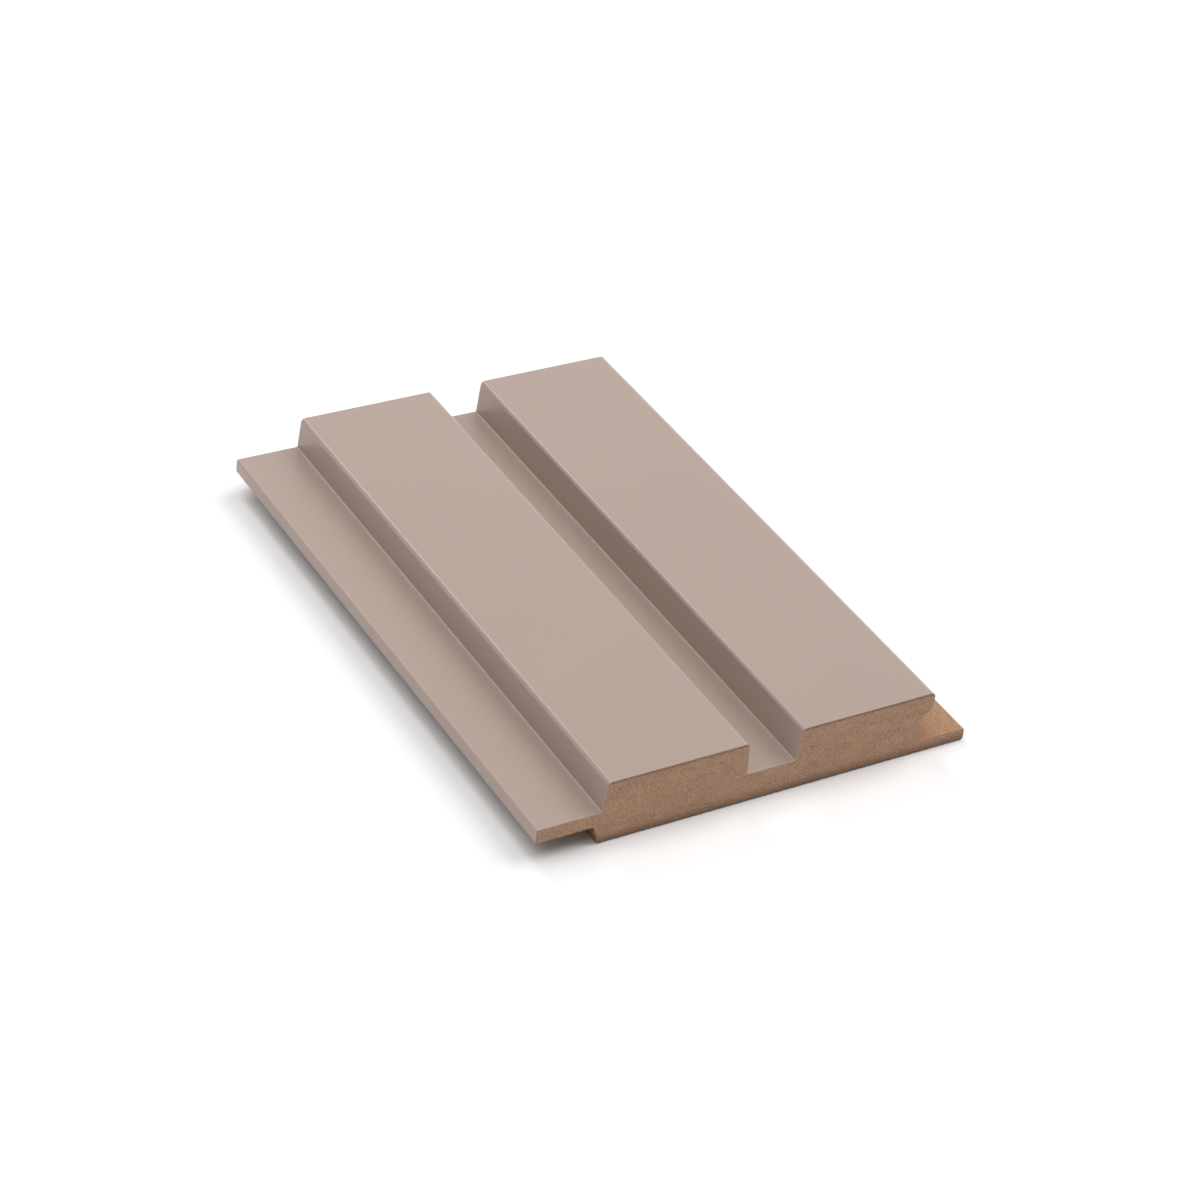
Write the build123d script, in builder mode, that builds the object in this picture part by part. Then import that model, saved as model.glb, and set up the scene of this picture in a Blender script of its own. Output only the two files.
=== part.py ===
from build123d import *
from math import radians, tan
import os

os.makedirs("parts", exist_ok=True)

# A length of slatted wainscot panel moulded from one board of MDF. All sizes are in millimetres.
# It lies face up: the lip is on the -X side, the tongue on the +X side, and the length runs along Y.

# The board and the two raised slats.
panel_length = 160.0
panel_thickness = 18.0
slat_width = 38.3
groove_width = 14.9
groove_depth = 9.4
side_draft = 4.0

# The lip, which laps over the next panel's tongue and makes the floor of the groove at the joint.
lip_width = 17.9
lip_depth = 8.6
lip_thickness = 4.1
rebate_width = 15.4
rebate_slant = 17.0

# The tongue, and the hook of the second slat over it. The plays let the next panel slide in.
tongue_thickness = 3.5
tongue_play = 0.7
lap_play = 0.1
hook_edge_height = 4.5

# Roundings of the edges and of the cutter in the inside corners.
slat_edge_radius = 1.2
hook_edge_radius = 1.5
lip_edge_radius = 0.6
inside_radius = 0.4
tongue_radius = 0.7
arris_radius = 0.8

# The hook reaches so far that the gap at a joint is as wide as the groove between the slats.
hook_reach = lip_width - groove_width + lap_play
tongue_width = rebate_width - tongue_play
overall_width = lip_width + slat_width * 2 + groove_width - hook_reach + tongue_width

# Where the upright lines of the section stand, from the lip's edge to the tongue's tip.
lip_edge = -overall_width / 2
slat_1_left = lip_edge + lip_width
slat_1_right = slat_1_left + slat_width
slat_2_left = slat_1_right + groove_width
slat_2_right = slat_2_left + slat_width
pocket_wall = slat_2_right - hook_reach
tongue_tip = overall_width / 2

# Heights above the back of the panel.
lip_top = panel_thickness - lip_depth
lip_under = lip_top - lip_thickness
groove_floor = panel_thickness - groove_depth
pocket_roof = lip_top + lap_play
hook_low = panel_thickness - hook_edge_height

# Sharp corners of the section, from the back edge of the rebate round to the rebate's roof.
lean = tan(radians(side_draft))
rebate_foot = (lip_edge + rebate_width + lip_under * tan(radians(rebate_slant)), 0)
tongue_back = (tongue_tip, 0)
tongue_top = (tongue_tip, tongue_thickness)
pocket_floor = (pocket_wall, tongue_thickness)
pocket_top = (pocket_wall, pocket_roof)
hook_point = (slat_2_right, hook_low)
hook_corner = (slat_2_right, panel_thickness)
slat_2_corner = (slat_2_left, panel_thickness)
groove_right = (slat_2_left - groove_depth * lean, groove_floor)
groove_left = (slat_1_right + groove_depth * lean, groove_floor)
slat_1_far = (slat_1_right, panel_thickness)
slat_1_near = (slat_1_left, panel_thickness)
lip_root = (slat_1_left - lip_depth * lean, lip_top)
lip_corner = (lip_edge, lip_top)
lip_arris = (lip_edge, lip_under)
rebate_roof = (lip_edge + rebate_width, lip_under)

# The corners that share a rounding.
roundings = [
    (slat_edge_radius, [slat_1_near, slat_1_far, slat_2_corner]),
    (hook_edge_radius, [hook_corner]),
    (lip_edge_radius, [lip_corner]),
    (inside_radius, [lip_root, groove_left, groove_right, pocket_floor, pocket_top, rebate_roof]),
    (tongue_radius, [tongue_top]),
    (arris_radius, [rebate_foot, tongue_back, lip_arris, hook_point]),
]

# One section, drawn seen from the front end and run the whole length.
with BuildPart() as panel:
    with BuildSketch(Plane.XZ) as section:
        with BuildLine():
            Polyline(
                rebate_foot,
                tongue_back,
                tongue_top,
                pocket_floor,
                pocket_top,
                hook_point,
                hook_corner,
                slat_2_corner,
                groove_right,
                groove_left,
                slat_1_far,
                slat_1_near,
                lip_root,
                lip_corner,
                lip_arris,
                rebate_roof,
                close=True,
            )
        make_face()
        for radius, corners in roundings:
            fillet([section.vertices().sort_by_distance(corner)[0] for corner in corners], radius)
    extrude(amount=panel_length / 2, both=True)

panel.part.label = "panel"
export_step(panel.part, "parts/panel.step")
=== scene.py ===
# %% [markdown]
# # A slatted wainscot panel
# The object is one short length of wall panel: a board of MDF, moulded to a section with two flat slats,
# a lip on one edge and a tongue on the other, and lacquered in a satin taupe on every face that shows.
# The CAD model gives its true section and size. Here the same section is drawn again with finer
# roundings, and each of its faces gets the finish of the real one.

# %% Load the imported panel
import bpy
import numpy as np
from mathutils import Matrix, Vector


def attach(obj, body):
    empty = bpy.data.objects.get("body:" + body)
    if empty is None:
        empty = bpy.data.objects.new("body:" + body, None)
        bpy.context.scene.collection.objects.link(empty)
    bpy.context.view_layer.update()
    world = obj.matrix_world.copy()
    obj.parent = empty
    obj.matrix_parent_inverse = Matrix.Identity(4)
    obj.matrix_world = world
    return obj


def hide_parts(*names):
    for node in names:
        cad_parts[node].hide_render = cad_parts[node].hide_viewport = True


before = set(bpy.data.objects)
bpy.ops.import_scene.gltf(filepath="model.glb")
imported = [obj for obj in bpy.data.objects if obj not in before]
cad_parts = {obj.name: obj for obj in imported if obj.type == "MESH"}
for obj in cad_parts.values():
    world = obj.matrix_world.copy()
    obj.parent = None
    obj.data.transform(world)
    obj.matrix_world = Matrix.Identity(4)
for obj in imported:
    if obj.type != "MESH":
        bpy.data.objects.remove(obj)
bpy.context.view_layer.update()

MM = 0.001

# %% [markdown]
# ## The section
# The real panel comes out of a moulder: a row of turning cutters shapes the board's section in one pass,
# so the section is the same from end to end. It could be copied from the CAD mesh, but there a rounding
# is only three flats. So its sharp corners are listed once more, each with its rounding, and the
# arcs are worked out with as many steps as a close view needs.

# %% Corners of the section, in millimetres, seen from the front end
HALF_WIDTH, THICKNESS = 60.5, 18.0
LIP_TOP, LIP_UNDER, GROOVE_FLOOR = 9.4, 5.3, 8.6
TONGUE, POCKET_ROOF, HOOK_LOW = 3.5, 9.5, 13.5
SLAT_1, SLAT_2 = (-42.6, -4.3), (10.6, 48.9)
POCKET_WALL, REBATE_END = 45.8, -45.1
LEAN, SLANT = np.tan(np.radians([4.0, 17.0]))
EDGE, HOOK, LIP, INSIDE, TIP, ARRIS = 1.2, 1.5, 0.6, 0.4, 0.7, 0.8

section = np.array([
    # x, z, rounding, anticlockwise from the back edge of the rebate
    (REBATE_END + LIP_UNDER * SLANT, 0.0, ARRIS),
    (HALF_WIDTH, 0.0, ARRIS),
    (HALF_WIDTH, TONGUE, TIP),
    (POCKET_WALL, TONGUE, INSIDE),
    (POCKET_WALL, POCKET_ROOF, INSIDE),
    (SLAT_2[1], HOOK_LOW, ARRIS),
    (SLAT_2[1], THICKNESS, HOOK),
    (SLAT_2[0], THICKNESS, EDGE),
    (SLAT_2[0] - (THICKNESS - GROOVE_FLOOR) * LEAN, GROOVE_FLOOR, INSIDE),
    (SLAT_1[1] + (THICKNESS - GROOVE_FLOOR) * LEAN, GROOVE_FLOOR, INSIDE),
    (SLAT_1[1], THICKNESS, EDGE),
    (SLAT_1[0], THICKNESS, EDGE),
    (SLAT_1[0] - (THICKNESS - LIP_TOP) * LEAN, LIP_TOP, INSIDE),
    (-HALF_WIDTH, LIP_TOP, LIP),
    (-HALF_WIDTH, LIP_UNDER, ARRIS),
    (REBATE_END, LIP_UNDER, INSIDE),
])
BACK_RUN, HOOK_CORNER, LIP_CORNER = 0, 5, 14
print("section corners:", len(section))

# %% Round the corners and divide the runs
ARC_STEPS, RUN_STEP = 9, 0.5
ARC_COUNT = 1e-3


def rounded_outline(corners):
    """Points, outward normals and corner numbers round a closed section.

    A corner's arc has its centre on the bisector, at radius / sin(half angle) from the sharp corner,
    and it touches both sides. Every piece between two arc points is then cut into equal parts no longer
    than RUN_STEP. The corner number goes up by ARC_COUNT over an arc and by the rest of one over a run.
    """
    sharp, radius = corners[:, :2], corners[:, 2]
    to_last = np.roll(sharp, 1, axis=0) - sharp
    to_next = np.roll(sharp, -1, axis=0) - sharp
    to_last /= np.linalg.norm(to_last, axis=1)[:, None]
    to_next /= np.linalg.norm(to_next, axis=1)[:, None]
    half = np.arccos((to_last * to_next).sum(axis=1)) / 2
    bisector = (to_last + to_next) / np.linalg.norm(to_last + to_next, axis=1)[:, None]
    centre = sharp + bisector * (radius / np.sin(half))[:, None]
    start = to_last * (radius / np.tan(half))[:, None] + sharp - centre
    end = to_next * (radius / np.tan(half))[:, None] + sharp - centre
    first = np.arctan2(start[:, 1], start[:, 0])
    sweep = np.angle(np.exp(1j * (np.arctan2(end[:, 1], end[:, 0]) - first)))
    share = np.linspace(0, 1, ARC_STEPS)
    angle = first[:, None] + sweep[:, None] * share
    ray = np.stack([np.cos(angle), np.sin(angle)], axis=-1)
    points = (centre[:, None] + radius[:, None, None] * ray).reshape(-1, 2)
    normals = (np.sign(sweep)[:, None, None] * ray).reshape(-1, 2)
    number = (np.arange(len(corners))[:, None] + (share - 0.5) * ARC_COUNT).ravel()
    gap = np.linalg.norm(np.roll(points, -1, axis=0) - points, axis=1)
    parts = np.ceil(gap / RUN_STEP).astype(int)
    source = np.repeat(np.arange(len(points)), parts)
    after = (source + 1) % len(points)
    part = np.arange(parts.sum()) - np.repeat(np.cumsum(parts) - parts, parts)
    along = part / parts[source]
    step_up = (number[after] - number[source]) % len(corners)
    fine_points = points[source] + along[:, None] * (points[after] - points[source])
    fine_normals = normals[source] + along[:, None] * (normals[after] - normals[source])
    return fine_points, fine_normals, (number[source] + along * step_up) % len(corners)


outline, outward, corner_number = rounded_outline(section)
around = np.linalg.norm(np.diff(outline, axis=0), axis=1).sum()
print("outline points:", len(outline), "and length in mm:", round(around, 1))

# %% [markdown]
# ## The panel
# The piece is that section carried along the length. At each end the sawn edge isn't a perfect corner: the
# lacquer breaks off in a crisp edge, and the soft MDF at the back frays a little. So the outline shrinks
# in a small quarter round at each end, by an amount that wanders along the edge, and one more ring
# on the cut face is the lacquer's own thickness. Everything but the two cut faces is then one grid of
# rings, and the exact normals are known, so the wide flats stay flat to the eye.

# %% A line that wanders
COSINES = 60


def wandering(count, waves, seed):
    """A closed random line of count values from about -2 to 2: a sum of cosines with random phases."""
    draw = np.random.default_rng(seed)
    turns = draw.integers(1, waves, COSINES)
    phase = draw.uniform(0, 2 * np.pi, COSINES)
    place = np.linspace(0, 2 * np.pi, count, endpoint=False)
    return np.cos(place[:, None] * turns + phase).sum(axis=1) / np.sqrt(COSINES)


# %% Rings of one end, in millimetres
HALF_LENGTH = 80.0
LACQUER_EASE, MDF_EASE, BACK_EASE, LEAST_EASE = 0.10, 0.22, 0.40, 0.05
LACQUER_BUILD = 0.11
# How many waves go round the section at most, and what share of each size they change.
EASE_WAVES, BUILD_WAVES = 260, 330
MDF_FRAY, LACQUER_FRAY, BUILD_FRAY = 0.40, 0.25, 0.22
ROUND_STEPS, STATIONS = 4, 41

count = len(outline)
lacquered = (corner_number >= HOOK_CORNER) & (corner_number < LIP_CORNER)
at_back = (corner_number >= BACK_RUN) & (corner_number < BACK_RUN + 1)
in_rebate = corner_number >= LIP_CORNER
quarter = np.linspace(np.pi / 2, 0, ROUND_STEPS + 1)


def end_rings(seed, side):
    """Rings of one end, from the cut face out to the full outline.

    Gives each ring's inset, its place along Y and the lean of its normal. On the quarter round of
    radius e the inset is e (1 - cos a) and the distance from the cut face is e (1 - sin a), for a from
    90 degrees at the cut to 0 on the long faces.
    """
    fray = wandering(count, EASE_WAVES, seed)
    bare = np.where(at_back, BACK_EASE, MDF_EASE) * (1 + MDF_FRAY * fray)
    coated = LACQUER_EASE * (1 + LACQUER_FRAY * fray)
    ease = np.where(lacquered, coated, bare).clip(LEAST_EASE)
    build = LACQUER_BUILD * (1 + BUILD_FRAY * wandering(count, BUILD_WAVES, seed + 1))
    inset = np.vstack([ease + build, ease * (1 - np.cos(quarter))[:, None]])
    from_cut = np.vstack([0 * ease, ease * (1 - np.sin(quarter))[:, None]])
    lean = np.concatenate([[np.pi / 2], quarter])
    print("sawn edge eased by", round(ease.min(), 2), "to", round(ease.max(), 2), "mm")
    return inset, side * (HALF_LENGTH - from_cut), side * lean


# %% Rings from end to end
inset_f, place_f, lean_f = end_rings(seed=11, side=-1)
inset_b, place_b, lean_b = end_rings(seed=23, side=1)
middle = np.linspace(-HALF_LENGTH, HALF_LENGTH, STATIONS + 2)[1:-1, None] + np.zeros(count)
inset = np.vstack([inset_f, 0 * middle, inset_b[::-1]])
place = np.vstack([place_f, middle, place_b[::-1]])
lean = np.concatenate([lean_f, np.zeros(STATIONS), lean_b[::-1]])[:, None]
rings = len(inset)
print("rings:", rings, "of", count, "points")

# %% Points, normals and faces of the grid
shrunk = outline[None] - inset[..., None] * outward[None]
points = np.stack([shrunk[..., 0], place, shrunk[..., 1]], axis=-1).reshape(-1, 3) * MM
normals = np.stack([
    np.cos(lean) * outward[:, 0],
    np.sin(lean) + np.zeros(count),
    np.cos(lean) * outward[:, 1],
], axis=-1).reshape(-1, 3)
number = np.arange(rings * count).reshape(rings, count)
here, there = number[:-1], number[1:]
here_next, there_next = np.roll(here, -1, axis=1), np.roll(there, -1, axis=1)
quads = np.stack([here, there, there_next, here_next], axis=-1).reshape(-1, 4)
front_cut, back_cut = number[0], number[-1][::-1]
print("quads:", len(quads), "and two cut faces")

# %% [markdown]
# ## Which finish goes where
# Lacquer is sprayed on the face before the panel is packed: it covers everything from the hook over the
# tongue round to the lower edge of the lip. The tongue and its pocket are bare, as the cutters left them.
# The rebate and the lip's underside are drawn in darker brown MDF, painted shade under the lip. The back is
# the sanded skin of the board. The two ends show the sawn inside; their back edge is drawn near black, a
# painted contact shadow.

# %% Finish of each face
FINISHES = [
    "satin_lacquer", "lacquer_cut_edge", "sawn_mdf", "moulded_mdf",
    "sanded_mdf", "painted_shade_rebate_mdf", "painted_shadow_back_edge_mdf",
]
SATIN, CUT_EDGE, SAWN, MOULDED, SANDED, REBATE_SHADE, BACK_EDGE_SHADOW = range(len(FINISHES))
# The rebate and the lip's underside get a darker brown MDF: painted shade under the lip.
long_face = np.select([lacquered, at_back, in_rebate], [SATIN, SANDED, REBATE_SHADE], MOULDED)
finish = np.tile(long_face, (rings - 1, 1))
finish[[0, -1]] = np.where(lacquered, CUT_EDGE, SAWN)
eased = np.r_[1:ROUND_STEPS + 1, -ROUND_STEPS - 1:-1]
# At both ends the back's quarter round gets near-black MDF: a painted contact shadow.
finish[eased] = np.where(at_back, BACK_EDGE_SHADOW, long_face)
finish = np.concatenate([finish.ravel(), [SAWN, SAWN]])
print({name: int((finish == i).sum()) for i, name in enumerate(FINISHES)})

# %% Make the mesh
mesh = bpy.data.meshes.new("moulded_panel")
mesh.from_pydata(points.tolist(), [], quads.tolist() + [front_cut.tolist(), back_cut.tolist()])
mesh.polygons.foreach_set("use_smooth", np.ones(len(finish), bool))
mesh.polygons.foreach_set("material_index", finish.astype(np.int32))
mesh.normals_split_custom_set_from_vertices(normals.tolist())
panel = bpy.data.objects.new("moulded_panel", mesh)
bpy.context.scene.collection.objects.link(panel)
print("faces:", len(mesh.polygons), "loose or wrong:", mesh.validate())

# %% [markdown]
# ## Materials
# Each finish is a set of nodes on the panel's own Object coordinates, in metres. So a pattern's scale is
# one over the size of its grain in metres. Few helpers are enough: one turns a hex colour to the linear
# values that the shader wants, one adds a node with its settings and links, and one starts a material.

# %% Helpers for the nodes
# Numbers of a Mix node's sockets when it mixes colours.
MIX_A, MIX_B, MIX_OUT = 6, 7, 2


def linear(code):
    """The linear colour of an sRGB hex code: a power of 2.4 above a short straight foot."""
    value = np.array([int(code[i:i + 2], 16) for i in (1, 3, 5)]) / 255
    value = np.where(value <= 0.04045, value / 12.92, ((value + 0.055) / 1.055) ** 2.4)
    return (*value.tolist(), 1.0)


def add(tree, kind, inputs=None, **settings):
    """One new node: settings are its properties, inputs are values for its sockets or sockets to link."""
    node = tree.nodes.new(kind)
    for name, value in settings.items():
        setattr(node, name, value)
    for name, value in (inputs or {}).items():
        if isinstance(value, bpy.types.NodeSocket):
            tree.links.new(value, node.inputs[name])
        else:
            node.inputs[name].default_value = value
    return node


def new_material(name):
    """An empty material: its tree, its Object coordinates and its shader, linked to the output."""
    material = bpy.data.materials.new(name)
    material.use_nodes = True
    tree = material.node_tree
    tree.nodes.clear()
    shader = add(tree, "ShaderNodeBsdfPrincipled")
    add(tree, "ShaderNodeOutputMaterial", {"Surface": shader.outputs["BSDF"]})
    return material, tree, add(tree, "ShaderNodeTexCoord").outputs["Object"], shader


def per_mm(size):
    """The scale that makes a pattern's grain this many millimetres."""
    return 1 / (size * MM)


# %% [markdown]
# ### Satin lacquer
# Two sprayed coats of water-based lacquer over a primed board. It gives the eye an even taupe with a soft
# sheen: sharp enough that a lamp draws a thin light line along each rounded edge, and broken by a very
# fine orange peel where the droplets ran together. The peel is real at about 1.2 mm and a hundredth of a
# millimetre high, so it is a bump. The tint drifts by a few hundredths over a few centimetres.

# %% Satin lacquer
DRIFT_SIZE, PEEL_SIZE, PEEL_HEIGHT = 45, 1.2, 0.012
SMOOTHEST, ROUGHEST, LACQUER_IOR = 0.27, 0.36, 1.5
lacquer, tree, place_on, shader = new_material("satin_lacquer")
drift = add(tree, "ShaderNodeTexNoise", {"Vector": place_on, "Scale": per_mm(DRIFT_SIZE), "Detail": 2.0})
peel = add(tree, "ShaderNodeTexNoise", {"Vector": place_on, "Scale": per_mm(PEEL_SIZE), "Detail": 1.0})
tint = add(tree, "ShaderNodeMix", {
    "Factor": drift.outputs["Fac"], MIX_A: linear("#A59287"), MIX_B: linear("#A9968B"),
}, data_type="RGBA")
sheen = add(tree, "ShaderNodeMapRange", {
    "Value": peel.outputs["Fac"], "To Min": SMOOTHEST, "To Max": ROUGHEST,
})
skin = add(tree, "ShaderNodeBump", {
    "Height": peel.outputs["Fac"], "Distance": PEEL_HEIGHT * MM, "Strength": 1.0,
})
shader.inputs["IOR"].default_value = LACQUER_IOR
tree.links.new(tint.outputs[MIX_OUT], shader.inputs["Base Color"])
tree.links.new(sheen.outputs["Result"], shader.inputs["Roughness"])
tree.links.new(skin.outputs["Normal"], shader.inputs["Normal"])

# %% [markdown]
# ### The lacquer's cut edge
# Where the saw went through, the lacquer's own thickness shows as a pale line round the face, with no gloss
# and scorched in places. It is a tenth of a millimetre wide. The dark line under it is the board's pressed
# skin, which belongs to the sawn MDF below.

# %% Lacquer's cut edge
SCORCH_SIZE, RAGGED_HEIGHT, CUT_ROUGHNESS = 2.5, 0.05, 0.7
cut_edge, tree, place_on, shader = new_material("lacquer_cut_edge")
scorch = add(tree, "ShaderNodeTexNoise", {"Vector": place_on, "Scale": per_mm(SCORCH_SIZE), "Detail": 3.0})
tint = add(tree, "ShaderNodeMix", {
    "Factor": scorch.outputs["Fac"], MIX_A: linear("#7F6A5C"), MIX_B: linear("#A38E80"),
}, data_type="RGBA")
ragged = add(tree, "ShaderNodeBump", {
    "Height": scorch.outputs["Fac"], "Distance": RAGGED_HEIGHT * MM, "Strength": 1.0,
})
shader.inputs["Roughness"].default_value = CUT_ROUGHNESS
tree.links.new(tint.outputs[MIX_OUT], shader.inputs["Base Color"])
tree.links.new(ragged.outputs["Normal"], shader.inputs["Normal"])

# %% [markdown]
# ### Bare MDF
# MDF is wood ground to fibres, pressed flat with resin. Cut across, it shows a fine speckle, clumps a few
# times that size and wider along the board than across it, and here and there a dark speck of bark. The
# press makes both faces of the board denser than its middle, so the cut darkens in a thin skin under the
# slats; the grooves are cut below the upper skin and don't have it. Over the last few millimetres towards
# the back the cut darkens too, partly the lower skin and partly painted shade from the table. Cut along by
# the moulder, MDF is smoother and warmer. The rebate is drawn darker brown as painted shade under the lip,
# and the back's edge at both ends near black as a painted contact shadow. The sanded back is the skin
# itself. All five are one recipe with other sizes, so one function makes them.

# %% Bare MDF
# Sizes in millimetres. Real fibres are a twentieth of a millimetre thick, too fine to show.
GRAIN_SIZE, CLUMP_SIZE, SPECK_SPACING = 0.45, 2.6, 3.2
CLUMP_SHARE, SPREAD_LOW, SPREAD_HIGH = 0.20, 0.3, 0.7
NO_SPECK_SHARE, SPECK_CORE, SPECK_RIM = 0.80, 0.05, 0.13
# Where each band starts and is full, in millimetres above the table, and how dark it is: the upper one is
# the board's skin, the lower one partly the back skin and partly painted shade from the table.
SKIN_AND_SHADE_BANDS = ((16.9, 17.5, 1.1), (3.4, 0.2, 1.3))
DARK_RESIN = linear("#4E3A2E")
FIBRES_SMOOTHEST, FIBRES_ROUGHEST = 0.80, 0.95


def bare_mdf(name, dark, light, stretch, depth, speck, skin=0.0):
    """A speckled fibre material.

    A fine and a coarser, stretched noise are mixed and spread over two colours, then darkened by specks,
    which are the middles of a few cells of a Voronoi pattern, by skin near the board's two faces, and by
    painted shade from the table over the lowest few millimetres, mixed into the lower skin.
    """
    material, tree, place_on, shader = new_material(name)
    along = add(tree, "ShaderNodeMapping", {"Vector": place_on, "Scale": stretch})
    grain = add(tree, "ShaderNodeTexNoise", {
        "Vector": place_on, "Scale": per_mm(GRAIN_SIZE), "Detail": 2.0,
    })
    clump = add(tree, "ShaderNodeTexNoise", {
        "Vector": along.outputs["Vector"], "Scale": per_mm(CLUMP_SIZE), "Detail": 2.0,
    })
    fibres = add(tree, "ShaderNodeMix", {
        "Factor": CLUMP_SHARE, "A": grain.outputs["Fac"], "B": clump.outputs["Fac"],
    })
    spread = add(tree, "ShaderNodeMapRange", {
        "Value": fibres.outputs["Result"], "From Min": SPREAD_LOW, "From Max": SPREAD_HIGH,
    })
    tint = add(tree, "ShaderNodeMix", {
        "Factor": spread.outputs["Result"], MIX_A: linear(dark), MIX_B: linear(light),
    }, data_type="RGBA")
    cells = add(tree, "ShaderNodeTexVoronoi", {"Vector": place_on, "Scale": per_mm(SPECK_SPACING)})
    few = add(tree, "ShaderNodeMath", {
        0: cells.outputs["Color"], 1: NO_SPECK_SHARE,
    }, operation="GREATER_THAN")
    near = add(tree, "ShaderNodeMapRange", {
        "Value": cells.outputs["Distance"], "From Min": SPECK_CORE, "From Max": SPECK_RIM,
        "To Min": speck, "To Max": 0.0,
    })
    darken = add(tree, "ShaderNodeMath", {
        0: few.outputs["Value"], 1: near.outputs["Result"],
    }, operation="MULTIPLY")
    if skin:
        height = add(tree, "ShaderNodeSeparateXYZ", {"Vector": place_on})
        # The lower band is partly the back skin and partly painted shade from the table.
        for starts, full, share in SKIN_AND_SHADE_BANDS:
            skin_and_shade = add(tree, "ShaderNodeMapRange", {
                "Value": height.outputs["Z"], "From Min": starts * MM, "From Max": full * MM,
                "To Max": share * skin,
            }, interpolation_type="SMOOTHSTEP")
            darken = add(tree, "ShaderNodeMath", {
                0: darken.outputs["Value"], 1: skin_and_shade.outputs["Result"],
            }, operation="MAXIMUM")
    darker = add(tree, "ShaderNodeMix", {
        "Factor": darken.outputs["Value"], MIX_A: tint.outputs[MIX_OUT], MIX_B: DARK_RESIN,
    }, data_type="RGBA")
    rough = add(tree, "ShaderNodeMapRange", {
        "Value": grain.outputs["Fac"], "To Min": FIBRES_SMOOTHEST, "To Max": FIBRES_ROUGHEST,
    })
    relief = add(tree, "ShaderNodeBump", {
        "Height": fibres.outputs["Result"], "Distance": depth * MM, "Strength": 1.0,
    })
    tree.links.new(darker.outputs[MIX_OUT], shader.inputs["Base Color"])
    tree.links.new(rough.outputs["Result"], shader.inputs["Roughness"])
    tree.links.new(relief.outputs["Normal"], shader.inputs["Normal"])
    return material


# %% The five kinds of bare MDF
# Clumps are drawn out along X on the sawn ends, and along Y where the moulder ran.
ALONG_X, ALONG_Y, SANDED_BOTH = (0.45, 1.0, 1.0), (1.0, 0.4, 1.0), (0.7, 0.5, 1.0)
sawn = bare_mdf("sawn_mdf", "#926F57", "#C6A083", ALONG_X, depth=0.10, speck=0.6, skin=0.42)
moulded = bare_mdf("moulded_mdf", "#8F6B51", "#BD9474", ALONG_Y, depth=0.05, speck=0.4)
sanded = bare_mdf("sanded_mdf", "#86664F", "#A98669", SANDED_BOTH, depth=0.03, speck=0.5)
# Painted shade: the rebate and the lip's underside are drawn in this darker brown.
rebate_shade_mdf = bare_mdf("painted_shade_rebate_mdf", "#65472F", "#876446", ALONG_Y, depth=0.05, speck=0.4)
# Painted contact shadow: the back's edge at both ends is drawn in this near black.
back_edge_shadow_mdf = bare_mdf("painted_shadow_back_edge_mdf", "#3E2C21", "#5C4534", SANDED_BOTH, depth=0.05, speck=0.4)

# %% Put the finishes on the panel
for material in (lacquer, cut_edge, sawn, moulded, sanded, rebate_shade_mdf, back_edge_shadow_mdf):
    mesh.materials.append(material)
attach(panel, "root")
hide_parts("panel")
print("materials:", [m.name for m in mesh.materials])

# %% [markdown]
# ## Floor and light
# The panel lies on a white table between two wide soft lights, one on the tongue's side and one nearer
# overhead on the lip's side, with a weak low one for the walls of the slats. A sun with a wide angle is
# such a light: it is as bright everywhere on the table, and its shadows are soft. A strip stands behind,
# for the light line along the slats' edges, and a long low card behind the tongue lights the groove. The
# rest of the room is a dim white. The camera and the lacquer's gloss see table and room as plain white,
# so the picture's ground is white without more light on the panel.

# %% What is seen, and what only lights
def seen_directly(tree):
    """A socket that is 1 for rays from the camera, a gloss or a glass, and 0 for all that carry light."""
    rays = add(tree, "ShaderNodeLightPath")
    seen = rays.outputs["Is Camera Ray"]
    for kind in ("Is Glossy Ray", "Is Transmission Ray"):
        either = add(tree, "ShaderNodeMath", {0: seen, 1: rays.outputs[kind]}, operation="MAXIMUM")
        seen = either.outputs["Value"]
    return seen


# %% White table
FLOOR_HALF, FLOOR_GAP = 3.0, 0.02 * MM
FLOOR_BOUNCE, FLOOR_SEEN = (0.90, 0.90, 0.90, 1.0), (0.98, 0.98, 0.98, 1.0)
corner = FLOOR_HALF * np.array([(-1, -1, 0), (1, -1, 0), (1, 1, 0), (-1, 1, 0)]) - (0, 0, FLOOR_GAP)
floor_mesh = bpy.data.meshes.new("table")
floor_mesh.from_pydata(corner.tolist(), [], [(0, 1, 2, 3)])
floor = bpy.data.objects.new("table", floor_mesh)
bpy.context.scene.collection.objects.link(floor)
white, tree, _, shader = new_material("white_table")
tone = add(tree, "ShaderNodeMix", {
    "Factor": seen_directly(tree), MIX_A: FLOOR_BOUNCE, MIX_B: FLOOR_SEEN,
}, data_type="RGBA")
tree.links.new(tone.outputs[MIX_OUT], shader.inputs["Base Color"])
shader.inputs["Roughness"].default_value = 1.0
shader.inputs["Specular IOR Level"].default_value = 0.0
floor_mesh.materials.append(white)

# %% White room
ROOM_LIGHT, ROOM_SEEN = 0.17, 1.0
world = bpy.data.worlds.new("white_room")
world.use_nodes = True
bpy.context.scene.world = world
tree = world.node_tree
tree.nodes.clear()
level = add(tree, "ShaderNodeMapRange", {
    "Value": seen_directly(tree), "To Min": ROOM_LIGHT, "To Max": ROOM_SEEN,
})
room = add(tree, "ShaderNodeBackground", {
    "Color": (1.0, 1.0, 1.0, 1.0), "Strength": level.outputs["Result"],
})
add(tree, "ShaderNodeOutputWorld", {"Surface": room.outputs["Background"]})

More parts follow.
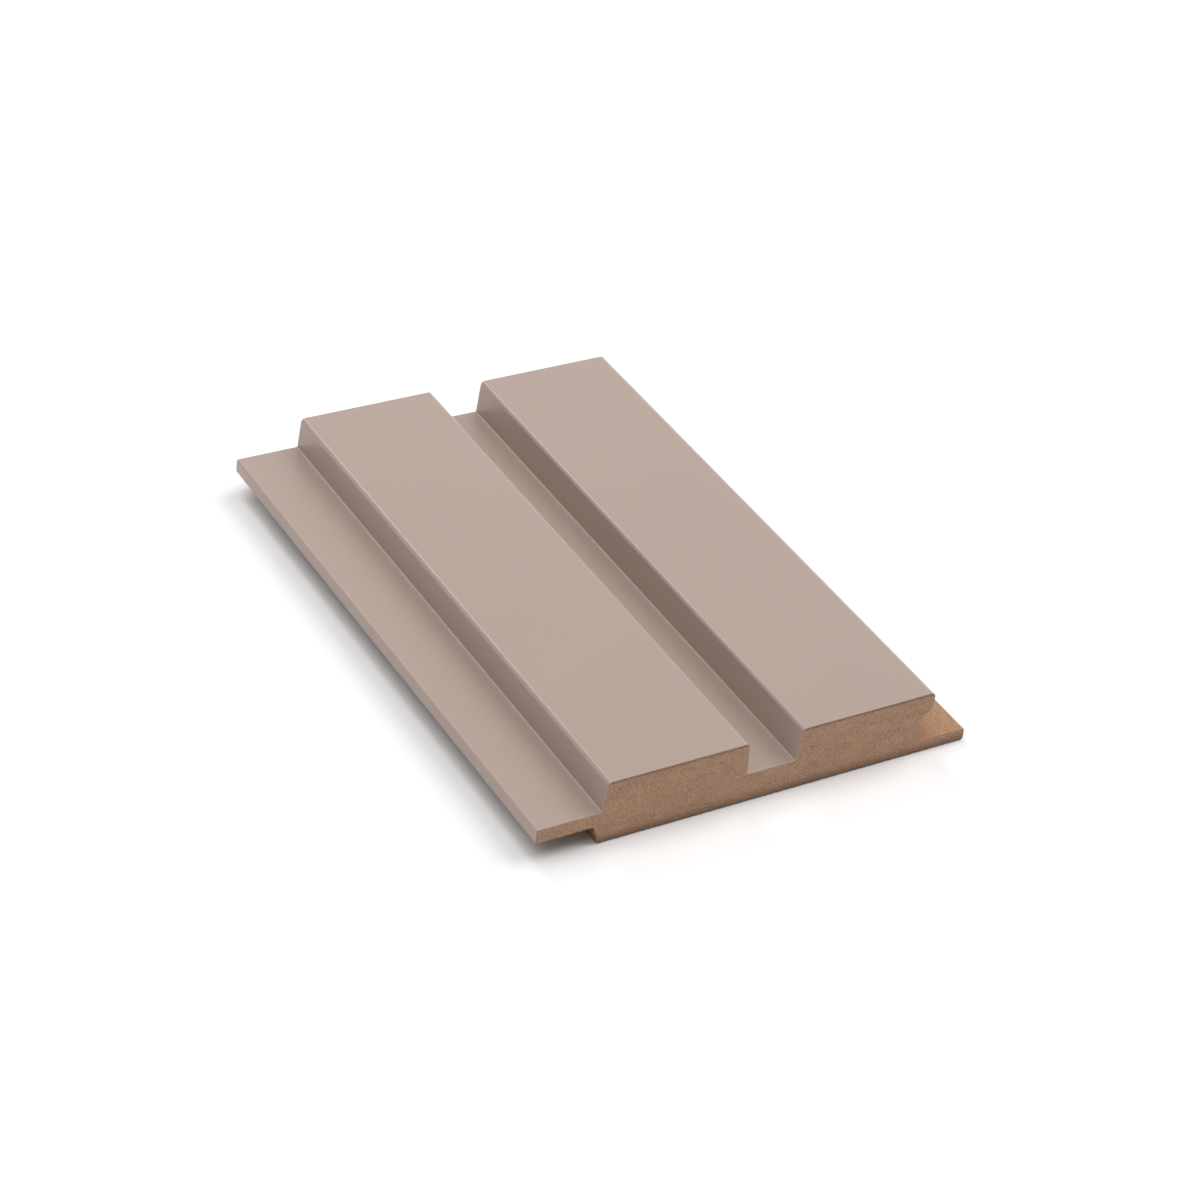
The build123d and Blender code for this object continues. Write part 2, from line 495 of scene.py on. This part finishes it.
# %% Wide lights above, a strip and a card behind
SOFTBOXES = (
    # name, strength, angle across in degrees, direction it shines from
    ("tongue_side_light", 1.57, 50.0, Vector((0.80, 0.0, 1.0))),
    ("lip_side_light", 1.34, 60.0, Vector((-0.35, 0.0, 1.0))),
    ("low_light", 0.27, 40.0, Vector((-2.2, 0.0, 1.0))),
)
PANELS = (
    # name, power in watts, size and place in metres
    ("strip_light", 1.60, (0.16, 0.34), Vector((-0.06, 0.655, 0.70))),
    ("low_card", 0.75, (0.90, 0.12), Vector((0.66, 0.68, 0.19))),
)
for name, strength, wide, towards in SOFTBOXES:
    light = bpy.data.lights.new(name, "SUN")
    light.energy = strength
    light.angle = np.radians(wide)
    holder = bpy.data.objects.new(name, light)
    holder.rotation_euler = towards.to_track_quat("Z", "Y").to_euler()
    bpy.context.scene.collection.objects.link(holder)
for name, power, size, spot in PANELS:
    light = bpy.data.lights.new(name, "AREA")
    light.energy = power
    light.shape = "RECTANGLE"
    light.size, light.size_y = size
    holder = bpy.data.objects.new(name, light)
    holder.location = spot
    holder.rotation_euler = spot.to_track_quat("Z", "Y").to_euler()
    bpy.context.scene.collection.objects.link(holder)
print("lights:", [light.name for light in bpy.data.lights])

# %% [markdown]
# ## Camera
# The photograph was taken from the lip's side, above the front end, through a long lens, and slightly
# turned. The place and the lens come from fitting the panel's known edges to those in the picture.

# %% Camera
EYE = Vector((-387.93, -564.01, 493.83)) * MM
AHEAD = Vector((0.463451, 0.668144, -0.582062)).normalized()
UP = Vector((0.212672, 0.553797, 0.805034)).normalized()
RIGHT = AHEAD.cross(UP)
SENSOR, LENS = 36.0, 100.35
camera = bpy.data.objects.new("camera", bpy.data.cameras.new("camera"))
camera.data.sensor_width = SENSOR
camera.data.lens = LENS
camera.data.clip_start = 0.01
camera.data.clip_end = 50.0
turn = Matrix((RIGHT, UP, -AHEAD)).transposed().to_4x4()
camera.matrix_world = Matrix.Translation(EYE) @ turn
bpy.context.scene.collection.objects.link(camera)
bpy.context.scene.camera = camera
bpy.context.scene.view_settings.view_transform = "Standard"
